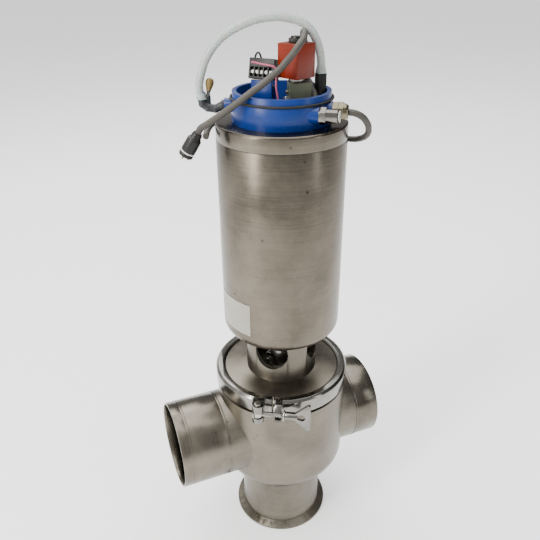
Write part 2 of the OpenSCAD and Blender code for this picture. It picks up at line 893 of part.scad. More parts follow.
module valve_manifold() {
    color("darkseagreen") at_block() difference() {
        translate([-block_w / 2, -block_d / 2, floor_z]) cube([block_w, block_d, block_top - floor_z]);
        translate([0, 0, button_z]) bar_x(button_r + run, -block_w / 2 - over, -block_w / 2 + 7);
        manifold_screw_places() bar_x(1.5, -block_w / 2 - over, -block_w / 2 + 6);
    }
}

module manifold_screw_places() {
    for (y = [-5, 5])
        translate([0, y, button_z - 8]) children();
}

module override_button() {
    color("goldenrod") at_block() translate([0, 0, button_z])
        bar_x(button_r, -block_w / 2 - 2.4, -block_w / 2 + 5);
}

module at_coil() {
    translate([coil_x, coil_y, 0]) rotate([0, 0, coil_dir]) children();
}

module armature_tube() {
    color("silver") at_coil() difference() {
        union() {
            bar(core_r + 2.6, block_top, coil_z - 0.8);
            bar(core_r, block_top, core_top);
        }
        bar(plunger_r + run, plunger_z, plunger_z + plunger_len + 1.8);
    }
}

module solenoid_plunger() {
    color("gainsboro") at_coil() bar(plunger_r, plunger_z + 0.1, plunger_z + plunger_len);
}

module solenoid_coil() {
    color("orangered") at_coil() difference() {
        translate([-coil_w / 2, -coil_w / 2, coil_z]) cube([coil_w, coil_w, coil_h]);
        bar(core_r + run, coil_z - over, coil_z + coil_h + over);
    }
}

module coil_nut() {
    color("dimgray") at_coil() difference() {
        union() {
            hex_bar(13.5, coil_z + coil_h, coil_z + coil_h + 4);
            bar(5.6, coil_z + coil_h, core_top + 1.6);
        }
        bar(core_r + run, coil_z + coil_h - over, core_top);
    }
}

module tube_socket() {
    color("black") translate([socket_x, socket_y, 0]) difference() {
        union() {
            bar(socket_r, floor_z, socket_top);
            bar(socket_r + 0.2, floor_z, floor_z + 3);
        }
        bar(2.5, floor_z + 6, socket_top + over);
    }
}

module exhaust_hose() {
    color("white") sweep(smooth(hose_route, 3), hose_d / 2, 12);
}

module at_tee() {
    rotate([0, 0, tee_dir]) children();
}

// A bent pipe: a bar along each leg and a slightly fatter ball at each bend
module bent_pipe(points, r) {
    for (i = [0 : len(points) - 2]) {
        way = points[i + 1] - points[i];
        long = norm(way);
        translate(points[i]) rotate([0, acos(way.z / long), atan2(way.y, way.x)]) cylinder(r = r, h = long);
        if (i > 0)
            translate(points[i]) sphere(r = 1.05 * r);
    }
}

module tee_fitting() {
    color("dimgray") at_tee() {
        translate([0, 0, tee_z]) bar_x(3.5, tee_x - 8, tee_x);
        translate([0, 0, tee_z]) bar_x(5.2, tee_x, tee_x + 3);
        bent_pipe([for (p = tee_route) [tee_x + p.x, 0, tee_z + p.y]], 4);
        translate([tee_x + branch_x, branch_y, 0]) bar(2.8, tee_z - 1, branch_z);
    }
}

module muffler() {
    color("tan") at_tee() translate([tee_x + branch_x, branch_y, branch_z + 0.5]) rotate([0, -11, 0]) turned([
        [0, 0], [2.4, 0], [2.4, 1], [1.8, 1.4], [1.8, 4.4], [2.6, 5.2], [2.6, 6.6],
        [4, 11.5], [4.1, 14.2], [3, 16.4], [1.4, 17.2], [0, 17.4]
    ]);
}

module inlet_fitting() {
    color("silver") at_side(inlet_off, inlet_x) difference() {
        union() {
            bar(4.75, -8, 0);
            hex_bar(14.2, 0, 6.4);
            bar(6.2, 6.4, 17);
        }
        bar(tube_bore_r, -8 - over, 6);
        bar(collet_r + run, 5.5, 17 + over);
    }
}

module inlet_collet() {
    color("gainsboro") at_side(inlet_off, inlet_x) difference() {
        union() {
            bar(collet_r, 7, 18.4);
            bar(5.7, 18.2, 19.6);
        }
        bar(tube_bore_r, 6, 19.6 + over);
    }
}

module cable_gland() {
    color("khaki") at_side(gland_off, gland_x) difference() {
        union() {
            bar(5.4, -9, 0);
            hex_bar(16, 0, 5.5);
            bar(6.4, 5.5, 8);
        }
        bar(cable_d / 2 + run, -9 - over, 8 + over);
    }
}

module gland_nut() {
    color("khaki") at_side(gland_off, gland_x) difference() {
        union() {
            hex_bar(16.4, 5.7, 10.5);
            turned([[0, 10.5], [8, 10.5], [7.6, 13], [6.3, 15], [5, gland_len], [0, gland_len]]);
        }
        bar(6.4 + run, 5.5, 8);
        bar(cable_d / 2 + run, 7, gland_len + over);
    }
}

module sensor_cable() {
    color("gray") sweep(smooth(sensor_route, 2), cable_d / 2, 10);
}

module supply_cable() {
    color("gray") sweep(smooth(supply_route, 3), cable_d / 2, 10);
}

module cable_plug() {
    from = sensor_route[len(sensor_route) - 1];
    way = plug_tip - from;
    long = norm(way);
    color("black") translate(from)
        rotate([0, acos(way.z / long), atan2(way.y, way.x)])
            turned([
                [0, 0], [4.6, 0], [5.4, 5], [7, 7], [7.2, long - 6], [6.2, long - 5.5], [6.2, long - 3.5],
                [7.2, long - 3], [7.2, long], [0, long]
            ]);
}

valve_body();
left_port();
left_pipe_stub();
right_port();
bottom_pipe();
bottom_ferrule();
body_gasket();
yoke();
stem_bushing();
stem_seal();
clamp_left();
clamp_right();
clamp_hinge_pin();
trunnion_pin();
swing_bolt();
clamp_washer();
wing_nut();
valve_stem();
valve_plug();
plug_seal();
plug_retainer();
plug_nut();
coupling_front();
coupling_back();
coupling_screws();
actuator_shell();
actuator_base();
rod_bushing();
rod_seal();
piston_rod();
piston();
piston_seal();
return_spring();
actuator_cap();
cap_bushing();
name_label();
control_base();
cover_seal();
control_screws();
terminal_bracket();
terminal_block();
terminal_screws();
lead_wires();
valve_manifold();
override_button();
armature_tube();
solenoid_plunger();
solenoid_coil();
coil_nut();
tube_socket();
exhaust_hose();
tee_fitting();
muffler();
inlet_fitting();
inlet_collet();
cable_gland();
gland_nut();
sensor_cable();
cable_plug();
supply_cable();
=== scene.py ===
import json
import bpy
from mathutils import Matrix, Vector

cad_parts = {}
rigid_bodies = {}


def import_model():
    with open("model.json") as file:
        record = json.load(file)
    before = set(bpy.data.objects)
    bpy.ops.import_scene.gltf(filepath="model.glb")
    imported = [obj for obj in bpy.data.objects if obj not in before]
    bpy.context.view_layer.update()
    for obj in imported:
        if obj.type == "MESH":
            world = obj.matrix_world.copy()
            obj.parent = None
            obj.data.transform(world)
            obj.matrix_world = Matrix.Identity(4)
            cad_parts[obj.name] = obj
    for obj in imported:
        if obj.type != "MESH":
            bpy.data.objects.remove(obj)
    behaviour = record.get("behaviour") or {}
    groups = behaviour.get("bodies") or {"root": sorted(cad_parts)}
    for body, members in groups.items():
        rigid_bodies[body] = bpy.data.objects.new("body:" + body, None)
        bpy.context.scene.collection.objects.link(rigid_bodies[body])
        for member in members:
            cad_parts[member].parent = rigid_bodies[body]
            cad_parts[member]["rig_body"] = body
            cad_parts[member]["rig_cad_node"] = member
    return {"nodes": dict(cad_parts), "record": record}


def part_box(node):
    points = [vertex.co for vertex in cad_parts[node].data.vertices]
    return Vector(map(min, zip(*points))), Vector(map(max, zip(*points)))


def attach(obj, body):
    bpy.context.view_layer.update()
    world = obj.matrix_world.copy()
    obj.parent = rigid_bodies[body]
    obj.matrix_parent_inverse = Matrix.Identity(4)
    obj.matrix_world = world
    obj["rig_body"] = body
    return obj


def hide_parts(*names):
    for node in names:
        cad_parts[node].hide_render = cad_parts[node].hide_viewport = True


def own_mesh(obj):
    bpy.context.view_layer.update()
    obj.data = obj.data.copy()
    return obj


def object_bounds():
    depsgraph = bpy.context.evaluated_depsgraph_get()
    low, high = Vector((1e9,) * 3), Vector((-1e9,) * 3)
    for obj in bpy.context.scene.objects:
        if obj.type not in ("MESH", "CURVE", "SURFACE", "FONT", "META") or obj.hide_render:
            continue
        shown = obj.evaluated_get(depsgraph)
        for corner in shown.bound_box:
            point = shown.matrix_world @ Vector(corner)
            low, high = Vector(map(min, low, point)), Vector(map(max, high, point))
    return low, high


bl_info = {
    "name": "Three way valve",
    "version": (1, 0, 0),
    "blender": (4, 5, 0),
    "location": "View3D > Sidebar > Valve",
    "description": "Dresses the three way valve: its steel, clamp, control top, hose and cables",
    "category": "Object",
}

from math import cos, pi, radians, sin

import bpy
from bpy.props import FloatProperty, FloatVectorProperty, PointerProperty
from mathutils import Matrix, Vector

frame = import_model()
CAD_BOX = [[float(v) for v in corner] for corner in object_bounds()]
JOINTS = {joint["name"]: joint for joint in frame["record"]["behaviour"]["joints"]}
MM = 0.001
UP = Vector((0, 0, 1))
HOUSING = "housing"


def mid(node):
    """The middle of a CAD node's box."""
    low, high = (Vector(corner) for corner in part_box(node))
    return (low + high) / 2


def low(node):
    """The corner of a CAD node's box with the least x, y and z."""
    return Vector(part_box(node)[0])


def high(node):
    """The corner of a CAD node's box with the greatest x, y and z."""
    return Vector(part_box(node)[1])


# ---- Sizes that come from the frame ----

TUBE_R = (high("left_port").y - low("left_port").y) / 2
PORT_Z = mid("left_port").z
SHELL_R = (high("actuator_shell").x - low("actuator_shell").x) / 2
SEAM_Z = high("actuator_shell").z
BODY_OF = {
    node: body
    for body, nodes in frame["record"]["behaviour"]["bodies"].items()
    for node in nodes
}
SLOT_OF = {part["node"]: part["material_slot"] for part in frame["record"]["subparts"]}

# ---- The camera, in metres and degrees ----

CAMERA_PLACE = Vector((-0.233889, -0.536372, 0.670832))
CAMERA_AHEAD = Vector((0.33460, 0.81523, -0.47269))
CAMERA_ROLL = -0.45
CAMERA_LENS_MM = 39.36
CAMERA_SENSOR_MM = 36
LAMP_TARGET = Vector((0, 0, 0.32))

# ---- How many features of a pattern go in a metre ----

CLOUDS = 16.0  # handling marks on steel, 60 mm across
PIT_CELLS = 70.0  # cells of 14 mm, each with one pit of 1 to 2 mm
PIT_PATCHES = 33.0  # patches of 30 mm, with and without pits
BRUSHED = 900  # brushing lines 1 mm apart, coarser than the real 0.1 mm ones so that they show
DRAWN_OUT = 5  # along a brushing line, which runs on for 200 mm
CAST = 90  # the soft waves of a polished casting, 11 mm
PLATED = 60  # the worn patches of plated or phosphated parts, 17 mm
TINTS = 45.0  # uneven colour of a moulding, 22 mm
DUST_PATCHES = 120.0  # settled dust, 8 mm
FIBRES = 300.0  # the floor's paper, 3 mm

# ---- Details of the pieces, their lengths in metres ----

PLUG_FACE = Vector((-0.098, 0.007, 0.4995))  # the middle of the cable plug's open end
PRONG_CIRCLE = 0.0038
MUFFLER_COLLAR = 0.0064
LEAD_DIAMETER = 0.002
WELD_RINGS = 168  # the rings of one bead; every other one stands proud by RIPPLE
RIPPLE = 1.0022

# ---- Routes of the cords and leads, in metres ----

HOSE_ROUTE = [
    (0.0369, -0.0095, 0.569), (0.0369, -0.0096, 0.573), (0.0366, -0.0095, 0.58),
    (0.035, -0.0088, 0.5895), (0.0316, -0.0065, 0.6003), (0.0259, -0.0029, 0.6094),
    (0.0175, 0.0012, 0.6152), (0.0083, 0.0051, 0.6178), (-0.0009, 0.0086, 0.6189),
    (-0.0133, 0.0127, 0.6181), (-0.0247, 0.0164, 0.6153), (-0.0363, 0.02, 0.6107),
    (-0.0447, 0.0227, 0.6059), (-0.0522, 0.0248, 0.6006), (-0.0616, 0.0279, 0.5898),
    (-0.0668, 0.0294, 0.5809), (-0.07, 0.0305, 0.572), (-0.0723, 0.0315, 0.564),
    (-0.073, 0.0324, 0.5575), (-0.0723, 0.0329, 0.5515), (-0.0713, 0.0325, 0.5457),
]
SENSOR_ROUTE = [
    (0.0277, -0.03405, 0.5388), (0.0252, -0.0323, 0.5392), (0.0242, -0.0285, 0.5423),
    (0.0254, -0.0215, 0.5478), (0.0273, -0.0145, 0.552), (0.0278, -0.0089, 0.5545),
    (0.03, -0.0025, 0.5575), (0.0293, 0.0035, 0.5615), (0.0268, 0.006, 0.5675),
    (0.0256, 0.0058, 0.576), (0.0262, 0.0048, 0.586), (0.0253, 0.0038, 0.5955),
    (0.022, -0.0005, 0.6022), (0.0189, -0.0063, 0.6062), (0.0172, -0.0125, 0.607),
    (0.013, -0.0199, 0.6033), (0.0059, -0.0287, 0.6001), (0.0003, -0.0318, 0.5956),
    (-0.004, -0.0304, 0.5897), (-0.0093, -0.0292, 0.5839), (-0.014, -0.0283, 0.5788),
    (-0.0205, -0.0276, 0.574), (-0.0268, -0.0269, 0.5692), (-0.0331, -0.0264, 0.565),
    (-0.04, -0.0256, 0.5609), (-0.0462, -0.024, 0.5565), (-0.052, -0.0215, 0.5518),
    (-0.058, -0.0183, 0.547), (-0.064, -0.0145, 0.542), (-0.072, -0.0092, 0.5355),
    (-0.079, -0.0046, 0.53), (-0.0836, -0.0011, 0.5262), (-0.086, 0.0005, 0.5215),
]
SUPPLY_ROUTE = [
    (0.048, -0.0483, 0.5388), (0.052, -0.0508, 0.5382), (0.059, -0.052, 0.535),
    (0.067, -0.0495, 0.528), (0.074, -0.043, 0.519), (0.0785, -0.033, 0.51),
    (0.0795, -0.021, 0.5035), (0.077, -0.008, 0.4995), (0.075, 0.004, 0.498),
    (0.071, 0.018, 0.4985), (0.064, 0.033, 0.5), (0.052, 0.05, 0.5035), (0.034, 0.064, 0.5075),
    (0.012, 0.072, 0.511), (-0.012, 0.072, 0.514), (-0.034, 0.064, 0.516), (-0.051, 0.052, 0.517),
    (-0.062, 0.039, 0.517), (-0.069, 0.027, 0.5155), (-0.074, 0.016, 0.513),
]
PINK_ROUTE = [
    (-0.0259, 0.012, 0.5803), (-0.0221, 0.0074, 0.5798), (-0.0177, 0.00195, 0.5788),
    (-0.0133, -0.0035, 0.5782), (-0.0096, -0.0064, 0.5765), (-0.0088, -0.007, 0.571),
    (-0.0095, -0.0085, 0.56), (-0.0085, -0.011, 0.547), (-0.008, -0.012, 0.536),
]
DARK_ROUTE = [
    (-0.0211, 0.0158, 0.5794), (-0.0201, 0.0168, 0.5845), (-0.016, 0.0206, 0.587),
    (-0.0118, 0.0244, 0.583), (-0.0097, 0.0255, 0.573), (-0.008, 0.023, 0.56),
    (-0.0075, 0.02, 0.548), (-0.008, 0.0185, 0.536),
]

# ---- Colours and materials ----


def linear(code):
    """An sRGB hex colour as linear red, green, blue and alpha."""
    parts = [int(code[i:i + 2], 16) / 255 for i in (1, 3, 5)]
    return tuple(p / 12.92 if p <= 0.04045 else ((p + 0.055) / 1.055) ** 2.4 for p in parts) + (1.0,)


def shade(colour, amount):
    """A colour made darker, by a share of its light."""
    return tuple(part * amount for part in colour[:3]) + (1.0,)


def add(material, kind, settings=None, links=None):
    """Adds a node: settings are its options, inputs or ramp stops, links its incoming sockets."""
    node = material.node_tree.nodes.new(kind)
    for key, value in (settings or {}).items():
        if key == "stops":
            ramp = node.color_ramp.elements
            while len(ramp) < len(value):
                ramp.new(1.0)
            for stop, (place, colour) in zip(ramp, value):
                stop.position = place
                stop.color = colour if not isinstance(colour, float) else (colour,) * 3 + (1.0,)
        elif isinstance(key, str) and key in node.bl_rna.properties:
            setattr(node, key, value)
        else:
            node.inputs[key].default_value = value
    for key, socket in (links or {}).items():
        material.node_tree.links.new(socket, node.inputs[key])
    return node


def fresh(name, roughness, metallic=0.0, **inputs):
    """A new material and its shader, with what is the same all over set on the shader."""
    material = bpy.data.materials.new(name)
    material.use_nodes = True
    shader = material.node_tree.nodes["Principled BSDF"]
    shader.inputs["Roughness"].default_value = roughness
    shader.inputs["Metallic"].default_value = metallic
    for key, value in inputs.items():
        shader.inputs[key.replace("_", " ")].default_value = value
    return material, shader


def steel(name, light, dark, roughness, grain, grain_depth=0.03, smudge=0.10, specks=0.0):
    """Stainless steel. grain is its brushing: lines per metre along each axis, many across them."""
    material, shader = fresh(name, roughness, 1.0)
    links = material.node_tree.links
    place = add(material, "ShaderNodeTexCoord").outputs["Object"]
    # Clouds of handling marks and dried water
    clouds = add(material, "ShaderNodeTexNoise", {"Scale": CLOUDS, "Detail": 5.0, "Roughness": 0.62},
                 {"Vector": place})
    cloud_ramp = add(material, "ShaderNodeValToRGB", {"stops": [(0.34, 0.0), (0.68, 1.0)]},
                     {"Fac": clouds.outputs["Fac"]})
    tint = add(material, "ShaderNodeMix", {"data_type": "RGBA", 6: shade(light, dark), 7: light},
               {0: cloud_ramp.outputs["Color"]})
    # Brushing lines, or what stands for them on a casting
    drawn = add(material, "ShaderNodeMapping", {"Scale": grain}, {"Vector": place})
    lines = add(material, "ShaderNodeTexNoise", {"Scale": 1.0, "Detail": 3.0, "Roughness": 0.7},
                {"Vector": drawn.outputs["Vector"]})
    line_ramp = add(material, "ShaderNodeValToRGB", {"stops": [(0.30, 0.80), (0.70, 1.0)]},
                    {"Fac": lines.outputs["Fac"]})
    colour = add(material, "ShaderNodeMix",
                 {"data_type": "RGBA", "blend_type": "MULTIPLY", 0: 1.0},
                 {6: tint.outputs[2], 7: line_ramp.outputs["Color"]})
    if specks:
        # Small dark pits and dried drops
        pits = add(material, "ShaderNodeTexVoronoi", {"Scale": PIT_CELLS, "Randomness": 1.0},
                   {"Vector": place})
        rare = add(material, "ShaderNodeTexNoise", {"Scale": PIT_PATCHES, "Detail": 2.0},
                   {"Vector": place})
        gate = add(material, "ShaderNodeValToRGB", {"stops": [(0.52, 0.0), (0.60, 1.0)]},
                   {"Fac": rare.outputs["Fac"]})
        dots = add(material, "ShaderNodeValToRGB", {"stops": [(0.05, 1.0), (0.14, 0.0)]},
                   {"Fac": pits.outputs["Distance"]})
        both = add(material, "ShaderNodeMath", {"operation": "MULTIPLY"},
                   {0: gate.outputs["Color"], 1: dots.outputs["Color"]})
        strong = add(material, "ShaderNodeMath", {"operation": "MULTIPLY", 1: specks},
                     {0: both.outputs["Value"]})
        colour = add(material, "ShaderNodeMix", {"data_type": "RGBA", 7: linear("#3A2E22")},
                     {0: strong.outputs["Value"], 6: colour.outputs[2]})
    links.new(colour.outputs[2], shader.inputs["Base Color"])
    # Smudges change the gloss as well as the tint
    gloss = add(material, "ShaderNodeMapRange",
                {"From Min": 0.3, "From Max": 0.7, "To Min": roughness - smudge,
                 "To Max": roughness + smudge}, {"Value": clouds.outputs["Fac"]})
    fine = add(material, "ShaderNodeMath", {"operation": "MULTIPLY_ADD", 1: 0.12, 2: -0.06},
               {0: lines.outputs["Fac"]})
    total = add(material, "ShaderNodeMath", {"operation": "ADD", "use_clamp": True},
                {0: gloss.outputs["Result"], 1: fine.outputs["Value"]})
    links.new(total.outputs["Value"], shader.inputs["Roughness"])
    bump = add(material, "ShaderNodeBump", {"Strength": grain_depth * 10, "Distance": 0.0002},
               {"Height": lines.outputs["Fac"]})
    links.new(bump.outputs["Normal"], shader.inputs["Normal"])
    return material


def moulded(name, light, dark, roughness, texture_mm=0.8, depth=0.25, dust=0.25,
            dust_colour="#8E8A80", **inputs):
    """Moulded plastic or rubber: an eroded texture, slight shade changes and settled dust."""
    material, shader = fresh(name, roughness, **inputs)
    shader.inputs["Specular IOR Level"].default_value = 0.35
    links = material.node_tree.links
    place = add(material, "ShaderNodeTexCoord").outputs["Object"]
    clouds = add(material, "ShaderNodeTexNoise", {"Scale": TINTS, "Detail": 5.0, "Roughness": 0.6},
                 {"Vector": place})
    tint = add(material, "ShaderNodeMix", {"data_type": "RGBA", 6: shade(light, dark), 7: light},
               {0: clouds.outputs["Fac"]})
    # Dust lies on what faces up
    facing = add(material, "ShaderNodeNewGeometry")
    split = add(material, "ShaderNodeSeparateXYZ", {}, {"Vector": facing.outputs["Normal"]})
    patchy = add(material, "ShaderNodeTexNoise",
                 {"Scale": DUST_PATCHES, "Detail": 4.0, "Roughness": 0.7}, {"Vector": place})
    flat = add(material, "ShaderNodeMapRange",
               {"From Min": 0.1, "From Max": 1.0, "To Min": 0.0, "To Max": dust},
               {"Value": split.outputs["Z"]})
    amount = add(material, "ShaderNodeMath", {"operation": "MULTIPLY", "use_clamp": True},
                 {0: flat.outputs["Result"], 1: patchy.outputs["Fac"]})
    dusty = add(material, "ShaderNodeMix", {"data_type": "RGBA", 7: linear(dust_colour)},
                {0: amount.outputs["Value"], 6: tint.outputs[2]})
    links.new(dusty.outputs[2], shader.inputs["Base Color"])
    grain = add(material, "ShaderNodeTexNoise", {"Scale": 1.0 / (texture_mm * MM), "Detail": 2.0},
                {"Vector": place})
    bump = add(material, "ShaderNodeBump", {"Strength": depth, "Distance": 0.0001},
               {"Height": grain.outputs["Fac"]})
    links.new(bump.outputs["Normal"], shader.inputs["Normal"])
    gloss = add(material, "ShaderNodeMapRange",
                {"From Min": 0.3, "From Max": 0.7, "To Min": roughness - 0.07,
                 "To Max": roughness + 0.10}, {"Value": clouds.outputs["Fac"]})
    links.new(gloss.outputs["Result"], shader.inputs["Roughness"])
    return material


MATERIALS = {}


def make_materials():
    """Every finish of the valve, by the name that the pieces use."""
    tones = bpy.context.scene.valve_colours
    around = (DRAWN_OUT, DRAWN_OUT, BRUSHED)
    along = (BRUSHED, DRAWN_OUT, DRAWN_OUT)
    cast = (CAST, CAST, CAST)
    plated = (PLATED, PLATED, PLATED)
    MATERIALS.update({
        # 304 stainless tube, spun and belt-ground: satin, a warm grey from years of cleaning
        "tube": steel("satin_stainless_tube", tuple(tones.tube), 0.5, 0.27, along, specks=0.5),
        # The same steel turned round its axis
        "body": steel("satin_stainless_body", tuple(tones.tube), 0.6, 0.33, around, specks=0.5),
        # Rolled and brushed sheet with dried drips and small pits
        "shell": steel("brushed_stainless_shell", tuple(tones.shell), 0.55, 0.28, around, smudge=0.09,
                       specks=0.9),
        # Cast and polished stainless, brighter and softer in its highlights
        "cast": steel("polished_stainless_casting", linear("#96938D"), 0.55, 0.17, cast, 0.02, 0.08,
                      0.3),
        # Turned bar with its fine feed lines
        "turned": steel("turned_stainless_bar", linear("#C9C7C3"), 0.65, 0.24, around, 0.04, 0.08),
        # Nickel over brass, worn through to yellow
        "nickel": steel("worn_nickel_plating", linear("#9C937A"), 0.5, 0.26, plated, 0.02, 0.10, 0.6),
        # Fine-turned aluminium inside the actuator
        "aluminium": steel("turned_aluminium", linear("#C2C3C4"), 0.72, 0.36, around, 0.03, 0.06),
        # Phosphated spring wire
        "spring": steel("phosphated_spring_wire", linear("#4A4846"), 0.45, 0.45, plated, 0.03, 0.08),
        # Glass-filled polyamide, semi gloss, with pale dust on its ledges
        "blue": moulded("blue_polyamide", tuple(tones.blue), 0.6, 0.30, 0.9, 0.18, 0.18),
        # Black polyamide, dull
        "black": moulded("black_polyamide", linear("#0B0B0C"), 0.5, 0.42, 0.8, 0.3, 0.30),
        # Black nitrile rubber, which takes the light softly
        "rubber": moulded("black_nitrile_rubber", linear("#0A0A0A"), 0.5, 0.55, 1.2, 0.2, 0.15),
        # Turned acetal, waxy and off-white
        "bearing": moulded("turned_acetal", linear("#E6E0D0"), 0.8, 0.45, 1.0, 0.1, 0.0),
        # White polyamide of the small round terminals
        "white": moulded("white_polyamide", linear("#E4E3DC"), 0.8, 0.42, 0.8, 0.2, 0.2),
        # Cast epoxy round the winding, orange-red and slightly uneven
        "coil": moulded("orange_coil_resin", tuple(tones.coil), 0.6, 0.36, 1.1, 0.3, 0.12),
        # Olive anodised aluminium block, a soft metallic sheen under the dye
        "olive": moulded("olive_anodised_block", linear("#5F6452"), 0.65, 0.42, 1.4, 0.15, 0.3,
                         Metallic=0.35),
        # Grey vinyl cable jacket, matt, with dirt in its pores
        "cable": moulded("grey_cable_jacket", tuple(tones.cable), 0.45, 0.55, 1.6, 0.35, 0.25,
                         "#A39F96"),
        # Thin vinyl insulation
        "pink": moulded("pink_wire_jacket", linear("#B85A74"), 0.7, 0.45, 1.0, 0.1, 0.0),
        "dark": moulded("black_wire_jacket", linear("#1C1C1E"), 0.5, 0.45, 1.0, 0.1, 0.0),
        # Milky polyethylene hose, light passes into its wall
        "hose": moulded("milky_polyethylene", tuple(tones.hose), 0.8, 0.28, 1.5, 0.1, 0.0,
                        Transmission_Weight=0.25, IOR=1.5, Subsurface_Weight=0.35,
                        Subsurface_Scale=0.004),
        # Sintered bronze, open grains of about 0.6 mm
        "bronze": moulded("sintered_bronze", tuple(tones.bronze), 0.5, 0.55, 0.7, 0.9, 0.1,
                          Metallic=0.6),
        # Dark grey moulded push-in fitting
        "grey": moulded("grey_moulded_fitting", linear("#34373A"), 0.55, 0.4, 1.0, 0.2, 0.2),
        # Printed film, worn blank and yellowed
        "label": moulded("worn_polyester_film", linear("#A8A498"), 0.6, 0.42, 1.2, 0.25, 0.0),
    })


def finish(name):
    """A finish by its name; the first call makes them all."""
    if not MATERIALS:
        make_materials()
    return MATERIALS[name]


def coat(piece, name):
    """Gives a piece its finish."""
    piece.data.materials.clear()
    piece.data.materials.append(finish(name))
    return piece


def painted(name, *nodes):
    """Gives CAD nodes that stay as they are their finish."""
    for node in nodes:
        piece = frame["nodes"][node]
        for place in range(len(piece.data.materials)):
            piece.data.materials[place] = finish(name)
        if not piece.data.materials:
            piece.data.materials.append(finish(name))


# ---- Modelling by hand ----


def deselect():
    """Leaves edit mode, with nothing selected."""
    if bpy.context.object and bpy.context.object.mode != "OBJECT":
        bpy.ops.object.mode_set(mode="OBJECT")
    bpy.ops.object.select_all(action="DESELECT")


def pick_up(piece):
    """Selects one piece alone and makes it the active one."""
    deselect()
    piece.select_set(True)
    bpy.context.view_layer.objects.active = piece
    return piece


def named(name):
    """Names the active piece and its mesh."""
    piece = bpy.context.object
    piece.name = name
    piece.data.name = name
    return piece


def settle(piece, place):
    """Moves a piece to its place and keeps the move in its mesh."""
    pick_up(piece)
    piece.matrix_world = place @ piece.matrix_world
    bpy.ops.object.transform_apply(location=True, rotation=True, scale=True)
    return piece


def smooth_by_angle(piece, angle=35):
    """Smooth shading, with edges sharper than the angle kept sharp."""
    pick_up(piece)
    bpy.ops.object.shade_smooth_by_angle(angle=radians(angle))
    return piece


def softened(piece, width, angle):
    """Rounds the edges of a piece and applies the modifier."""
    pick_up(piece)
    bevel = piece.modifiers.new("Edge", "BEVEL")
    bevel.width = width
    bevel.segments = 2
    bevel.limit_method = "ANGLE"
    bevel.angle_limit = radians(angle)
    bpy.ops.object.modifier_apply(modifier=bevel.name)
    return smooth_by_angle(piece)


def finish_piece(piece, body, material, slot=None, *replaced):
    """Coats a piece, hangs it on its body and hides the CAD nodes it stands for."""
    coat(piece, material)
    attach(piece, body)
    if replaced:
        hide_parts(*replaced)
    return piece


def drawn_line(name, points):
    """A line drawn point by point, left in edit mode."""
    deselect()
    bpy.ops.mesh.primitive_plane_add(size=MM, location=(0, 0, 0))
    piece = named(name)
    bpy.ops.object.mode_set(mode="EDIT")
    bpy.ops.mesh.merge(type="CENTER")
    bpy.ops.transform.translate(value=points[0])
    for here, there in zip(points, points[1:]):
        step = [b - a for a, b in zip(here, there)]
        bpy.ops.mesh.extrude_region_move(TRANSFORM_OT_translate={"value": step})
    return piece


def turned(name, outline, steps, place=None):
    """A piece turned on a lathe from (radius, height) pairs in millimetres, about +Z."""
    points = [(r * MM, 0, z * MM) for r, z in outline]
    piece = drawn_line(name, points)
    bpy.ops.mesh.select_all(action="SELECT")
    bpy.ops.mesh.spin(steps=steps, angle=2 * pi, center=(0, 0, 0), axis=(0, 0, 1))
    bpy.ops.mesh.select_all(action="SELECT")
    bpy.ops.mesh.remove_doubles(threshold=1e-6)
    bpy.ops.mesh.normals_make_consistent(inside=False)
    bpy.ops.object.mode_set(mode="OBJECT")
    if place is not None:
        settle(piece, place)
    return smooth_by_angle(piece)


def copies(piece, names):
    """One piece under several names: itself for the first name, a copy for each of the others."""
    pieces = [piece]
    for name in names[1:]:
        pick_up(piece)
        bpy.ops.object.duplicate()
        pieces.append(named(name))
    pick_up(piece)
    named(names[0])
    return pieces


def joined(name, pieces):
    """Several pieces as one mesh."""
    deselect()
    for piece in pieces:
        piece.select_set(True)
    bpy.context.view_layer.objects.active = pieces[0]
    bpy.ops.object.join()
    return named(name)


def node_copy(node, name, edge=0.3, angle=35, weld=1e-5):
    """A CAD node's shape as a new piece, its triangles merged and its edges eased."""
    piece = frame["nodes"][node].copy()
    piece.data = piece.data.copy()
    bpy.context.scene.collection.objects.link(piece)
    piece.parent = None
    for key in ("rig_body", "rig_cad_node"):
        if key in piece:
            del piece[key]
    piece.name = name
    piece.data.name = name
    pick_up(piece)
    if piece.data.has_custom_normals:
        bpy.ops.mesh.customdata_custom_splitnormals_clear()
    bpy.ops.object.mode_set(mode="EDIT")
    bpy.ops.mesh.select_all(action="SELECT")
    bpy.ops.mesh.remove_doubles(threshold=weld)
    bpy.ops.mesh.dissolve_limited(angle_limit=radians(0.5))
    bpy.ops.object.mode_set(mode="OBJECT")
    if edge:
        softened(piece, edge * MM, angle)
    return smooth_by_angle(piece, 32)


def axis_place(point, axis, side=UP):
    """The placement that sends +Z along an axis through a point."""
    z = Vector(axis).normalized()
    x = Vector(side).cross(z)
    x = x.normalized() if x.length > 1e-6 else Vector((1, 0, 0))
    y = z.cross(x)
    turn = Matrix((x, y, z)).transposed().to_4x4()
    return Matrix.Translation(Vector(point)) @ turn


def refined(node, material, edge=0.3, angle=35):
    """A CAD node's shape with eased edges and its real finish, in the node's place."""
    piece = node_copy(node, node + "_finished", edge, angle)
    return finish_piece(piece, BODY_OF[node], material, SLOT_OF[node], node)


def second_tone(piece, material, start, way, reach):
    """Gives the faces of a piece within reach of a start, along a way, another finish."""
    piece.data.materials.append(finish(material))
    for face in piece.data.polygons:
        if (face.center - Vector(start)).dot(way) < reach:
            face.material_index = 1


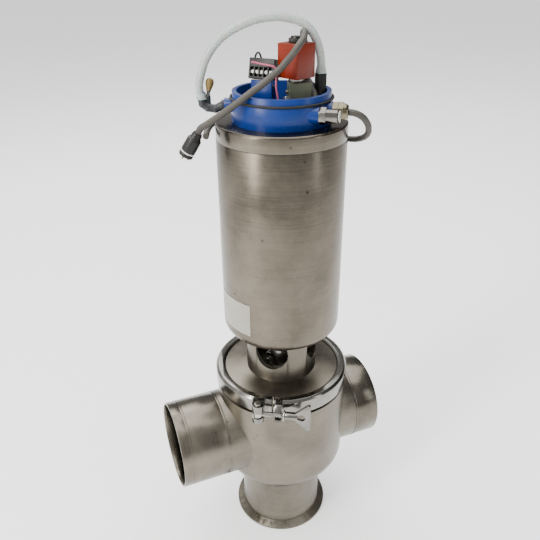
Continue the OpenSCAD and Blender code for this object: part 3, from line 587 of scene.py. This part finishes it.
def weld_bead(radius, width, height):
    """A low rippled bead for a tube: a torus made wide and flat, every other ring a little proud."""
    deselect()
    bpy.ops.mesh.primitive_torus_add(major_radius=radius, minor_radius=height,
                                     major_segments=WELD_RINGS, minor_segments=10)
    piece = named("bead")
    for point in piece.data.vertices:
        turn = Vector((point.co.x, point.co.y)).angle_signed(Vector((1, 0)))
        point.select = round(WELD_RINGS * turn / (2 * pi)) % 2 == 0
    bpy.ops.object.mode_set(mode="EDIT")
    bpy.ops.transform.resize(value=(RIPPLE, RIPPLE, 1.0), center_override=(0, 0, 0))
    bpy.ops.mesh.select_all(action="SELECT")
    bpy.ops.transform.resize(value=(1, 1, width / 2 / height), center_override=(0, 0, 0))
    bpy.ops.mesh.subdivide(number_cuts=1, smoothness=0.6)
    bpy.ops.object.mode_set(mode="OBJECT")
    return smooth_by_angle(piece, 60)


def cord_curve(name, route, diameter, sides=6):
    """A round cord: a curve of one spline through the points of its route."""
    deselect()
    bpy.ops.curve.primitive_bezier_curve_add(location=(0, 0, 0))
    piece = named(name)
    points = piece.data.splines[0].bezier_points
    points.add(len(route) - 2)
    for point, place in zip(points, route):
        point.co = place
        point.handle_left_type = "AUTO"
        point.handle_right_type = "AUTO"
    piece.data.dimensions = "3D"
    piece.data.bevel_depth = diameter / 2
    piece.data.bevel_resolution = sides
    piece.data.resolution_u = 6
    piece.data.use_fill_caps = True
    return piece


def threaded(radius, pitch, start, end, depth):
    """The outline of a thread's crests and roots, in millimetres, closed on the axis."""
    outline = [(0, start), (radius - depth, start)]
    level = start
    while level + pitch < end:
        outline += [(radius - depth, level + 0.12 * pitch), (radius, level + 0.45 * pitch),
                    (radius, level + 0.6 * pitch)]
        level += pitch
    return outline + [(radius - depth, level), (radius - depth, end), (0, end)]


# ---- Sizes and colours ----


class ValveSizes(bpy.types.PropertyGroup):
    hose_diameter: FloatProperty(
        name="Hose diameter", description="Outside diameter of the milky air hose", default=0.008,
        unit="LENGTH")
    cable_diameter: FloatProperty(
        name="Cable diameter", description="Outside diameter of the grey cable", default=0.0064,
        unit="LENGTH")
    weld_width: FloatProperty(
        name="Weld width", description="Width of the beads round the tube joints", default=0.0028,
        unit="LENGTH")
    weld_height: FloatProperty(
        name="Weld height", description="How far the beads stand proud of the tube", default=0.0002,
        unit="LENGTH")
    bolt_diameter: FloatProperty(
        name="Bolt diameter", description="Diameter of the swing bolt", default=0.006, unit="LENGTH")
    thread_pitch: FloatProperty(
        name="Thread pitch", description="Pitch of the swing bolt's thread", default=0.001,
        unit="LENGTH")
    edge: FloatProperty(
        name="Edge ease", description="Rounding on machined edges", default=0.0004, unit="LENGTH")
    floor_size: FloatProperty(
        name="Floor size", description="Side of the floor under the valve", default=60.0,
        unit="LENGTH")


class ValveColours(bpy.types.PropertyGroup):
    tube: FloatVectorProperty(
        name="Tube", description="Satin stainless of the body and pipes", default=linear("#837D71"),
        size=4, min=0, max=1, subtype="COLOR")
    shell: FloatVectorProperty(
        name="Shell", description="Brushed stainless of the actuator", default=linear("#787064"),
        size=4, min=0, max=1, subtype="COLOR")
    blue: FloatVectorProperty(
        name="Control base", description="Blue polyamide of the control base",
        default=linear("#01307C"), size=4, min=0, max=1, subtype="COLOR")
    coil: FloatVectorProperty(
        name="Coil", description="Orange resin of the solenoid coil", default=linear("#7E2204"),
        size=4, min=0, max=1, subtype="COLOR")
    cable: FloatVectorProperty(
        name="Cable", description="Grey vinyl of the cable", default=linear("#4C4842"), size=4,
        min=0, max=1, subtype="COLOR")
    hose: FloatVectorProperty(
        name="Hose", description="Milky plastic of the air hose", default=linear("#C6CEC9"), size=4,
        min=0, max=1, subtype="COLOR")
    bronze: FloatVectorProperty(
        name="Muffler", description="Sintered bronze of the muffler", default=linear("#95804F"),
        size=4, min=0, max=1, subtype="COLOR")
    floor: FloatVectorProperty(
        name="Floor", description="Plain pale floor", default=linear("#FFFFFF"), size=4, min=0,
        max=1, subtype="COLOR")


# ---- Pieces ----


class VALVE_OT_studio(bpy.types.Operator):
    """Camera, soft lights and a plain pale floor"""

    bl_idname = "valve.studio"
    bl_label = "Studio"

    def execute(self, context):
        sizes = context.scene.valve_sizes
        ahead = CAMERA_AHEAD.normalized()
        level = ahead.cross(UP).normalized()
        lift = level.cross(ahead)
        roll = radians(CAMERA_ROLL)
        right = level * cos(roll) + lift * sin(roll)
        top = lift * cos(roll) - level * sin(roll)
        turn = Matrix((right, top, -ahead)).transposed().to_4x4()
        bpy.ops.object.camera_add()
        camera = context.object
        camera.name = "camera"
        camera.matrix_world = Matrix.Translation(CAMERA_PLACE) @ turn
        camera.data.lens = CAMERA_LENS_MM
        camera.data.sensor_width = CAMERA_SENSOR_MM
        camera.data.clip_start = 0.01
        context.scene.camera = camera

        deselect()
        # The floor lies 0.3 mm under the valve, so that the two never share a face
        bpy.ops.mesh.primitive_plane_add(size=sizes.floor_size,
                                         location=(0, 0, CAD_BOX[0][2] - 0.3 * MM))
        floor = named("floor")
        surface, shader = fresh("matt_paper_floor", 0.85)
        fibre = add(surface, "ShaderNodeTexNoise", {"Scale": FIBRES, "Detail": 2.0},
                    {"Vector": add(surface, "ShaderNodeTexCoord").outputs["Object"]})
        white = tuple(context.scene.valve_colours.floor)
        paper = add(surface, "ShaderNodeMix",
                    {"data_type": "RGBA", 6: shade(white, 0.985), 7: white}, {0: fibre.outputs["Fac"]})
        surface.node_tree.links.new(paper.outputs[2], shader.inputs["Base Color"])
        # The paper is lit from below a little, as on a light table
        shader.inputs["Emission Color"].default_value = (1, 1, 1, 1)
        shader.inputs["Emission Strength"].default_value = 0.6
        floor.data.materials.append(surface)

        # The lamps stand round the valve by where the camera is: toward it, and across to its right
        toward = Vector((CAMERA_PLACE.x, CAMERA_PLACE.y, 0)).normalized()
        across = UP.cross(toward)
        lamps = (
            ("key", toward * 1.05 - across * 1.15 + UP * 0.9, 0.35, 1.6, 40, (1.0, 0.98, 0.95)),
            ("fill", toward * 0.9 + across * 1.6 + UP * 0.5, 0.3, 0.9, 3, (0.96, 0.98, 1.0)),
            ("rim", -toward * 1.3 - across * 0.8 + UP * 1.3, 0.9, 0.9, 9, (1.0, 1.0, 1.0)),
            ("top", -toward * 0.6 + UP * 2.4, 3.0, 3.0, 95, (1.0, 1.0, 1.0)),
        )
        for name, place, width, height, power, colour in lamps:
            bpy.ops.object.light_add(type="AREA", location=LAMP_TARGET + place)
            lamp = context.object
            lamp.name = name
            lamp.data.shape = "RECTANGLE"
            lamp.data.size = width
            lamp.data.size_y = height
            lamp.data.energy = power
            lamp.data.color = colour
            lamp.rotation_euler = (-place).to_track_quat("-Z", "Y").to_euler()
        world = bpy.data.worlds.new("studio")
        context.scene.world = world
        world.use_nodes = True
        background = world.node_tree.nodes["Background"]
        background.inputs["Color"].default_value = (1, 1, 1, 1)
        # A white room, brighter on the key light's side and dim on the other
        sky = add(world, "ShaderNodeTexCoord")
        bright = (toward * 0.35 - across * 0.85 + UP * 0.4).normalized()
        side = add(world, "ShaderNodeVectorMath", {"operation": "DOT_PRODUCT", 1: tuple(bright)},
                   {0: sky.outputs["Generated"]})
        glow = add(world, "ShaderNodeMapRange",
                   {"From Min": -0.8, "From Max": 0.9, "To Min": 0.05, "To Max": 1.0},
                   {"Value": side.outputs["Value"]})
        world.node_tree.links.new(glow.outputs["Result"], background.inputs["Strength"])
        return {"FINISHED"}


class VALVE_OT_cords(bpy.types.Operator):
    """The milky hose and the grey cable, inside and outside the gland, with the cable's plug"""

    bl_idname = "valve.cords"
    bl_label = "Hose and cable"

    def execute(self, context):
        sizes = context.scene.valve_sizes
        hose = cord_curve("air_hose", HOSE_ROUTE, sizes.hose_diameter)
        finish_piece(hose, HOUSING, "hose", "hose_plastic", "exhaust_hose")

        plug = refined("cable_plug", "black", 0.5)
        face = axis_place(PLUG_FACE, PLUG_FACE - Vector(SENSOR_ROUTE[-1]))
        ring = turned("plug_ring", [(6.0, -5.3), (6.9, -5.2), (7.1, -4.6), (6.9, -4.0), (6.0, -3.8)],
                      48, face)
        finish_piece(ring, HOUSING, "white", "black_plastic")
        outline = [(0, -0.4), (1.0, -0.4), (1.0, 2.6), (0.6, 3.2), (0, 3.3)]
        three = copies(turned("prong", outline, 16), ("prong_one", "prong_two", "prong_three"))
        for number, prong in enumerate(three):
            turn = Matrix.Rotation(radians(120 * number + 20), 4, "Z")
            settle(prong, face @ turn @ Matrix.Translation((PRONG_CIRCLE, 0, 0)))
        prongs = joined("plug_prongs", three)
        finish_piece(prongs, HOUSING, "cast", "black_plastic")
        sensor = cord_curve("sensor_lead", SENSOR_ROUTE, sizes.cable_diameter)
        finish_piece(sensor, HOUSING, "cable", "cable_jacket", "sensor_cable")

        supply = cord_curve("supply_lead", SUPPLY_ROUTE, sizes.cable_diameter)
        finish_piece(supply, HOUSING, "cable", "cable_jacket", "supply_cable")
        return {"FINISHED"}


class VALVE_OT_vessel(bpy.types.Operator):
    """Body, ports, ferrule and yoke, with the weld beads of the tube joints"""

    bl_idname = "valve.vessel"
    bl_label = "Body and yoke"

    def execute(self, context):
        sizes = context.scene.valve_sizes
        edge = sizes.edge / MM
        refined("valve_body", "body", edge)
        refined("bottom_pipe", "body", 0)
        refined("bottom_ferrule", "body", edge)
        refined("yoke", "body", edge)
        refined("left_port", "tube", 0.2)
        refined("left_pipe_stub", "tube", edge)
        refined("right_port", "tube", edge)
        painted("rubber", "body_gasket", "stem_seal")
        painted("bearing", "stem_bushing")
        along = (1, 0, 0)
        welds = {
            "bead_left": axis_place((high("left_port").x, 0, PORT_Z), along),
            "bead_stub": axis_place((high("left_pipe_stub").x, 0, PORT_Z), along),
            "bead_right": axis_place((low("right_port").x, 0, PORT_Z), along),
            "bead_neck": axis_place((0, 0, high("bottom_pipe").z), UP),
        }
        bead = weld_bead(TUBE_R, sizes.weld_width, sizes.weld_height)
        for piece, place in zip(copies(bead, tuple(welds)), welds.values()):
            finish_piece(settle(piece, place), HOUSING, "tube", "body_steel")
        return {"FINISHED"}


class VALVE_OT_clamp(bpy.types.Operator):
    """The two clamp halves, their pins, the threaded swing bolt and the wing nut"""

    bl_idname = "valve.clamp"
    bl_label = "Clamp"

    def execute(self, context):
        sizes = context.scene.valve_sizes
        for node in ("clamp_left", "clamp_right"):
            refined(node, "cast", 0.7, 25)
        refined("wing_nut", "cast", 0.6, 25)
        for node in ("clamp_hinge_pin", "trunnion_pin", "clamp_washer"):
            refined(node, "turned", 0.3)
        # Swing bolt: an eye round its pin, and a shank with its thread cut at the real pitch
        pivot = Vector(JOINTS["bolt_swing"]["pos_m"])
        way = Vector(JOINTS["nut_travel"]["axis"]).normalized()
        eye_half = (high("swing_bolt").z - low("swing_bolt").z) / 2 / MM
        washer = (mid("clamp_washer") - pivot).dot(way) / MM
        radius = sizes.bolt_diameter / 2 / MM
        bore, rim, ease = 2.3, 5.0, 0.4
        eye = turned("bolt_eye", [(bore, -eye_half), (rim - ease, -eye_half), (rim, -eye_half + ease),
                                  (rim, eye_half - ease), (rim - ease, eye_half), (bore, eye_half),
                                  (bore, -eye_half)], 64, axis_place(pivot, UP))
        # The shank starts inside the eye and ends 12 mm past the washer, beyond the nut
        outline = threaded(radius, sizes.thread_pitch / MM, 4.2, washer + 12, 0.5)
        shank = turned("bolt_shank", outline, 48, axis_place(pivot, way))
        bolt = joined("threaded_bolt", [eye, shank])
        finish_piece(smooth_by_angle(bolt), "bolt", "turned", "turned_steel", "swing_bolt")
        return {"FINISHED"}


class VALVE_OT_drive(bpy.types.Operator):
    """Stem, plug, coupling, piston and spring, seen through the windows and inside"""

    bl_idname = "valve.drive"
    bl_label = "Stem and piston"

    def execute(self, context):
        for node in ("coupling_front", "coupling_back", "coupling_screws"):
            refined(node, "turned", 0.5)
        painted("turned", "valve_stem", "valve_plug", "plug_retainer", "plug_nut", "piston_rod")
        painted("aluminium", "piston", "actuator_base")
        painted("rubber", "plug_seal", "rod_seal", "piston_seal")
        painted("bearing", "rod_bushing", "cap_bushing")
        # A copy of the return spring, with a mesh of its own
        spring = node_copy("return_spring", "pressed_spring", 0)
        finish_piece(spring, HOUSING, "spring", "spring_steel", "return_spring")
        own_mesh(spring)
        return {"FINISHED"}


class VALVE_OT_actuator(bpy.types.Operator):
    """The actuator's can and cap, a dark ring of painted shade in the gap between them, and the blank
    label
    """

    bl_idname = "valve.actuator"
    bl_label = "Actuator"

    def execute(self, context):
        refined("actuator_shell", "shell", 0.4)
        refined("actuator_cap", "shell", 0.6)
        radius = SHELL_R / MM
        # A thin ring of dark phosphated steel round the join of can and cap: painted shade, standing
        # for the shadow in the gap between them
        outline = [(radius - 0.5, -0.35), (radius + 0.02, -0.3), (radius + 0.06, 0.0),
                   (radius + 0.02, 0.3), (radius - 0.5, 0.35)]
        seam_shade = turned("seam_shade_line", outline, 160, Matrix.Translation((0, 0, SEAM_Z)))
        finish_piece(seam_shade, HOUSING, "spring", "shell_steel")
        refined("name_label", "label", 0)
        return {"FINISHED"}


class VALVE_OT_control_base(bpy.types.Operator):
    """The blue base of the control top, its seal and its screws"""

    bl_idname = "valve.control_base"
    bl_label = "Control base"

    def execute(self, context):
        refined("control_base", "blue", 0.6)
        painted("rubber", "cover_seal")
        refined("control_screws", "turned", 0.3)
        return {"FINISHED"}


class VALVE_OT_terminals(bpy.types.Operator):
    """The leaning terminal block on its bracket, with its two leads"""

    bl_idname = "valve.terminals"
    bl_label = "Terminal block"

    def execute(self, context):
        refined("terminal_bracket", "blue", 0.3)
        refined("terminal_block", "black", 0.25)
        refined("terminal_screws", "white", 0.25)
        pink = cord_curve("pink_lead", PINK_ROUTE, LEAD_DIAMETER, 4)
        finish_piece(pink, HOUSING, "pink", "wire_jacket", "lead_wires")
        dark = cord_curve("dark_lead", DARK_ROUTE, LEAD_DIAMETER, 4)
        finish_piece(dark, HOUSING, "dark", "wire_jacket")
        return {"FINISHED"}


class VALVE_OT_solenoid(bpy.types.Operator):
    """The olive valve block, the orange coil on its core, the clip nut and the hand button"""

    bl_idname = "valve.solenoid"
    bl_label = "Solenoid"

    def execute(self, context):
        refined("valve_manifold", "olive", 0.5)
        refined("solenoid_coil", "coil", 0.9)
        refined("armature_tube", "turned", 0.3)
        refined("coil_nut", "spring", 0.4)
        refined("override_button", "nickel", 0.3)
        painted("turned", "solenoid_plunger")
        return {"FINISHED"}


class VALVE_OT_fittings(bpy.types.Operator):
    """Hose socket, tee, muffler, air inlet and cable gland"""

    bl_idname = "valve.fittings"
    bl_label = "Fittings"

    def execute(self, context):
        refined("tube_socket", "black", 0.4)
        refined("tee_fitting", "grey", 0.2, 40)
        muffler = refined("muffler", "bronze", 0.2)
        second_tone(muffler, "cast", low("muffler"), UP, MUFFLER_COLLAR)
        refined("inlet_fitting", "cast", 0.5)
        refined("inlet_collet", "turned", 0.4)
        refined("cable_gland", "nickel", 0.4)
        refined("gland_nut", "nickel", 0.5)
        outline = [(3.95, 0.1), (5.3, 0.1), (5.5, 0.8), (4.6, 4.6), (4.2, 6.4), (3.95, 6.4)]
        sleeves = copies(turned("hose_foot", outline, 48), ("hose_foot", "hose_tail"))
        for sleeve, end in zip(sleeves, (HOSE_ROUTE[0], HOSE_ROUTE[-1])):
            finish_piece(settle(sleeve, axis_place(end, UP)), HOUSING, "hose", "hose_plastic")
        return {"FINISHED"}


STEPS = (
    VALVE_OT_studio, VALVE_OT_cords, VALVE_OT_vessel, VALVE_OT_clamp, VALVE_OT_drive,
    VALVE_OT_actuator, VALVE_OT_control_base, VALVE_OT_terminals, VALVE_OT_solenoid,
    VALVE_OT_fittings,
)


class VALVE_PT_pieces(bpy.types.Panel):
    """Lists the pieces of the valve and their sizes and colours"""

    bl_idname = "VALVE_PT_pieces"
    bl_label = "Three way valve"
    bl_space_type = "VIEW_3D"
    bl_region_type = "UI"
    bl_category = "Valve"

    def draw(self, context):
        for step in STEPS:
            self.layout.operator(step.bl_idname)
        for group in (context.scene.valve_sizes, context.scene.valve_colours):
            for key in group.bl_rna.properties.keys():
                if key not in ("rna_type", "name"):
                    self.layout.prop(group, key)


CLASSES = (ValveSizes, ValveColours) + STEPS + (VALVE_PT_pieces,)


def register():
    for kind in CLASSES:
        bpy.utils.register_class(kind)
    bpy.types.Scene.valve_sizes = PointerProperty(type=ValveSizes)
    bpy.types.Scene.valve_colours = PointerProperty(type=ValveColours)


def unregister():
    del bpy.types.Scene.valve_colours
    del bpy.types.Scene.valve_sizes
    for kind in reversed(CLASSES):
        bpy.utils.unregister_class(kind)


def main():
    register()
    bpy.ops.valve.studio()
    bpy.ops.valve.cords()
    bpy.ops.valve.vessel()
    bpy.ops.valve.clamp()
    bpy.ops.valve.drive()
    bpy.ops.valve.actuator()
    bpy.ops.valve.control_base()
    bpy.ops.valve.terminals()
    bpy.ops.valve.solenoid()
    bpy.ops.valve.fittings()


if __name__ == "__main__":
    main()
